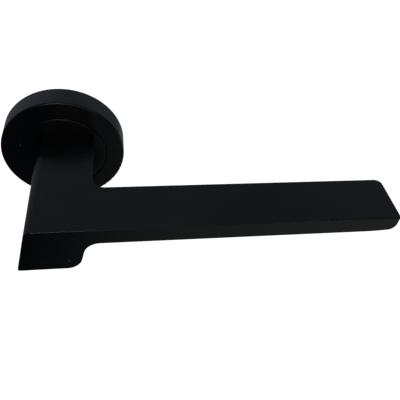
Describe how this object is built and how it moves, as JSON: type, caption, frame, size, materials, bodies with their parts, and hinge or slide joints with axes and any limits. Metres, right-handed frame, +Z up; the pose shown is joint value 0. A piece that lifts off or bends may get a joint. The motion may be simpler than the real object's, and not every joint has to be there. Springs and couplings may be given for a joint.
{
  "type": "door lever handle",
  "caption": "Black flat-bar door lever with a leaning rectangular neck, on a round sprung rose with a turning collar, half spindle and through fixings.",
  "frame": {"origin": "centre of the rose's back face, on the lever's turning axis", "axes": "+X along the lever to its tip, +Y into the door along the spindle, +Z up"},
  "size_m": [0.1573, 0.0952, 0.052],
  "materials": {
    "black_coat": "satin black coating on cast zinc",
    "zinc_casting": "as cast zinc alloy",
    "nylon": "natural nylon",
    "bright_steel": "drawn bright steel",
    "spring_steel": "oil tempered spring steel",
    "zinc_plated_steel": "bright zinc plate",
    "black_oxide_steel": "black oxide"
  },
  "bodies": {
    "rose": {"rose_cover": "black_coat", "rose_base": "zinc_casting", "bearing_bush": "nylon", "thrust_washer": "bright_steel", "wave_washer": "spring_steel", "return_spring": "spring_steel", "spring_plate": "zinc_plated_steel", "plate_screws": "zinc_plated_steel", "stop_pins": "bright_steel", "cover_snap_ring": "spring_steel", "support_lugs": "zinc_casting", "fixing_screws": "zinc_plated_steel", "fixing_washers": "zinc_plated_steel"},
    "lever": {"lever_handle": "black_coat", "neck_collar": "black_coat", "collar_screws": "zinc_plated_steel", "grub_screw": "black_oxide_steel", "spindle": "bright_steel", "spindle_clip": "spring_steel", "spring_driver": "zinc_plated_steel"}
  },
  "joints": [
    {"name": "lever_turn", "type": "hinge", "parent": "rose", "child": "lever", "pos_m": [0, 0, 0], "axis": [0, 1, 0], "range_deg": [0, 40], "stiffness_Nm_per_rad": 0.5, "springref_deg": -57.3, "deforming": ["return_spring"]}
  ]
}
